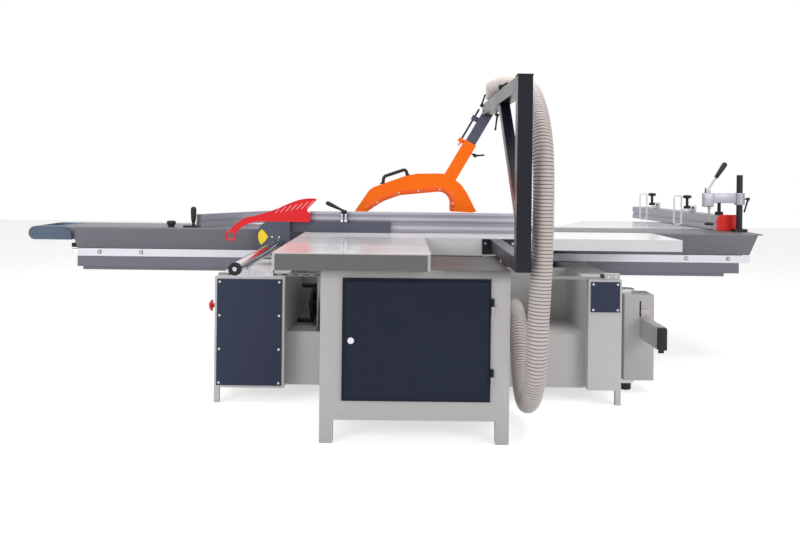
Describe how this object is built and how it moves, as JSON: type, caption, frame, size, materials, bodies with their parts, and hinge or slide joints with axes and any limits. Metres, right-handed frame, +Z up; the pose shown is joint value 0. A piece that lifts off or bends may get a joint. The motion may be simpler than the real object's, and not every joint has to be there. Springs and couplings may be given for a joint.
{
  "type": "sliding table saw",
  "caption": "Panel saw with sliding carriage on a fixed beam, rip fence on a round rail, crosscut fence on an outrigger and an overhead guard with dust hose.",
  "frame": {"origin": "on the floor, under the middle of the machine's outer box", "axes": "+X with the feed along the carriage, +Y from the rip side towards the carriage, +Z up"},
  "size_m": [4.56, 3.2679, 1.7425],
  "materials": {
    "body_paint": "light grey powder coat with fine texture",
    "table_paint": "light grey coated table plate",
    "slate_paint": "dark blue-grey powder coat",
    "anodised_grey": "grey anodised extrusion",
    "bright_aluminium": "bright drawn aluminium",
    "chrome_bar": "polished chrome",
    "machine_steel": "ground and turned steel",
    "motor_grey": "cast finned housing",
    "black_plastic": "moulded black plastic",
    "black_steel": "black oxide steel",
    "guard_orange": "orange moulded plastic",
    "signal_red": "red moulded plastic",
    "handle_slate": "blue-grey moulded plastic",
    "hose_plastic": "beige-grey ribbed hose",
    "belt_rubber": "black rubber belt"
  },
  "bodies": {
    "base": {"base_frame": "body_paint", "electrical_cover": "slate_paint", "rear_cover": "slate_paint", "machine_screws": "machine_steel", "cabinet": "body_paint", "front_table": "table_paint", "main_table": "table_paint", "rear_table": "table_paint", "throat_plate": "machine_steel", "slide_beam": "anodised_grey", "guide_strip": "bright_aluminium", "fence_rail": "chrome_bar", "rail_cap": "black_plastic", "rail_brackets": "machine_steel", "tie_rail": "body_paint", "guard_post": "slate_paint", "post_brackets": "black_steel", "arm_tube": "slate_paint", "dust_hose": "hose_plastic", "hose_collars": "slate_paint", "trunnions": "machine_steel", "arm_bracket": "machine_steel"},
    "door": {"door": "slate_paint"},
    "door_lock": {"door_lock": "chrome_bar"},
    "stop_button": {"stop_button": "signal_red"},
    "height_wheel": {"height_wheel": "black_plastic"},
    "tilt_wheel": {"tilt_wheel": "black_plastic"},
    "tilt": {"tilt_frame": "slate_paint", "scoring_motor": "motor_grey"},
    "scoring": {"scoring_blade": "machine_steel"},
    "lift": {"arbor_carrier": "slate_paint", "motor": "motor_grey", "drive_belt": "belt_rubber", "riving_knife": "machine_steel"},
    "arbor": {"main_arbor": "machine_steel", "main_blade": "machine_steel"},
    "motor_shaft": {"motor_pulley": "machine_steel"},
    "cage": {"roller_cage": "machine_steel"},
    "carriage": {"carriage": "anodised_grey", "end_handle": "handle_slate", "outrigger": "table_paint", "front_clamp": "black_plastic", "clamp_column": "black_steel"},
    "front_fence": {"front_fence": "anodised_grey"},
    "crosscut": {"crosscut_fence": "anodised_grey", "fence_end_cap": "signal_red"},
    "near_stop": {"near_stop": "bright_aluminium"},
    "far_stop": {"far_stop": "bright_aluminium"},
    "clamp_arm": {"clamp_arm": "bright_aluminium"},
    "clamp_lever": {"clamp_lever": "black_plastic"},
    "rip": {"rip_carrier": "slate_paint", "push_stick": "signal_red"},
    "rip_fence": {"rip_fence": "bright_aluminium"},
    "rip_lever": {"rip_lever": "black_plastic"},
    "guard": {"guard_hood": "guard_orange", "hood_handle": "black_plastic", "hood_neck": "guard_orange", "guide_rod": "machine_steel"},
    "swing": {"swing_arm": "body_paint"},
    "arm_beam": {"arm_beam": "bright_aluminium"}
  },
  "joints": [
    {"name": "carriage_slide", "type": "slide", "parent": "base", "child": "carriage", "axis": [1, 0, 0], "range_m": [-1.4, 1.4]},
    {"name": "cage_roll", "type": "slide", "parent": "base", "child": "cage", "axis": [1, 0, 0], "range_m": [-0.7, 0.7]},
    {"name": "door_swing", "type": "hinge", "parent": "base", "child": "door", "pos_m": [0.421, -1.505, 0.46], "axis": [0, 0, 1], "range_deg": [0, 110]},
    {"name": "lock_turn", "type": "hinge", "parent": "door", "child": "door_lock", "pos_m": [-0.199, -1.516, 0.457], "axis": [0, 1, 0], "range_deg": [0, 90]},
    {"name": "stop_press", "type": "slide", "parent": "base", "child": "stop_button", "axis": [1, 0, 0], "range_m": [0, 0.006], "stiffness_N_per_m": 1200},
    {"name": "height_wheel_turn", "type": "hinge", "parent": "base", "child": "height_wheel", "pos_m": [-0.477, -0.466, 0.434], "axis": [1, 0, 0], "range_deg": [-1080, 0]},
    {"name": "tilt_wheel_turn", "type": "hinge", "parent": "base", "child": "tilt_wheel", "pos_m": [-0.477, -0.236, 0.434], "axis": [1, 0, 0], "range_deg": [0, 1080]},
    {"name": "blade_tilt", "type": "hinge", "parent": "base", "child": "tilt", "pos_m": [0.083, -0.166, 0.838], "axis": [1, 0, 0], "range_deg": [0, 45]},
    {"name": "blade_lift", "type": "slide", "parent": "tilt", "child": "lift", "axis": [0, 0, 1], "range_m": [-0.062, 0]},
    {"name": "arbor_spin", "type": "hinge", "parent": "lift", "child": "arbor", "pos_m": [0.083, -0.166, 0.7425], "axis": [0, 1, 0], "continuous": true},
    {"name": "motor_spin", "type": "hinge", "parent": "lift", "child": "motor_shaft", "pos_m": [0.333, -0.418, 0.6], "axis": [0, 1, 0], "continuous": true},
    {"name": "scoring_spin", "type": "hinge", "parent": "tilt", "child": "scoring", "pos_m": [-0.187, -0.166, 0.783], "axis": [0, 1, 0], "continuous": true},
    {"name": "front_fence_swing", "type": "hinge", "parent": "carriage", "child": "front_fence", "pos_m": [-1.237, -0.004, 0.88], "axis": [0, 0, 1], "range_deg": [-20, 30]},
    {"name": "crosscut_swing", "type": "hinge", "parent": "carriage", "child": "crosscut", "pos_m": [2.144, 0.234, 0.9], "axis": [0, 0, 1], "range_deg": [-30, 39]},
    {"name": "near_stop_flip", "type": "hinge", "parent": "crosscut", "child": "near_stop", "pos_m": [2.08112, 0.61573, 0.954], "axis": [-0.0958, 0.9954, 0], "range_deg": [0, 95]},
    {"name": "far_stop_flip", "type": "hinge", "parent": "crosscut", "child": "far_stop", "pos_m": [2.0239, 1.20998, 0.954], "axis": [-0.0958, 0.9954, 0], "range_deg": [0, 95]},
    {"name": "clamp_slide", "type": "slide", "parent": "carriage", "child": "clamp_arm", "axis": [0, 0, 1], "range_m": [-0.03, 0.08]},
    {"name": "clamp_lever_turn", "type": "hinge", "parent": "clamp_arm", "child": "clamp_lever", "pos_m": [1.988, 0.114, 1.104], "axis": [0, 1, 0], "range_deg": [-70, 8]},
    {"name": "rip_slide", "type": "slide", "parent": "base", "child": "rip", "axis": [0, 1, 0], "range_m": [-0.76, 0.03]},
    {"name": "fence_shift", "type": "slide", "parent": "rip", "child": "rip_fence", "axis": [1, 0, 0], "range_m": [-0.25, 0.2]},
    {"name": "rip_lever_turn", "type": "hinge", "parent": "rip", "child": "rip_lever", "pos_m": [-0.315, -0.3283, 0.95], "axis": [0, 0, 1], "range_deg": [0, 80]},
    {"name": "guard_slide", "type": "slide", "parent": "base", "child": "guard", "axis": [-0.5, 0, -0.866], "range_m": [-0.06, 0.05]},
    {"name": "arm_swing", "type": "hinge", "parent": "base", "child": "swing", "pos_m": [1.275, -0.566, 0.29], "axis": [0, 0, 1], "range_deg": [-20, 14]},
    {"name": "arm_extend", "type": "slide", "parent": "swing", "child": "arm_beam", "axis": [0, 1, 0], "range_m": [-0.1, 0.3]}
  ],
  "couplings": [
    {"joint": "cage_roll", "follows": "carriage_slide", "ratio": 0.5},
    {"joint": "motor_spin", "follows": "arbor_spin", "ratio": 0.66667},
    {"joint": "height_wheel_turn", "follows": "blade_lift", "rad_per_m": 303.72},
    {"joint": "tilt_wheel_turn", "follows": "blade_tilt", "ratio": 24}
  ]
}
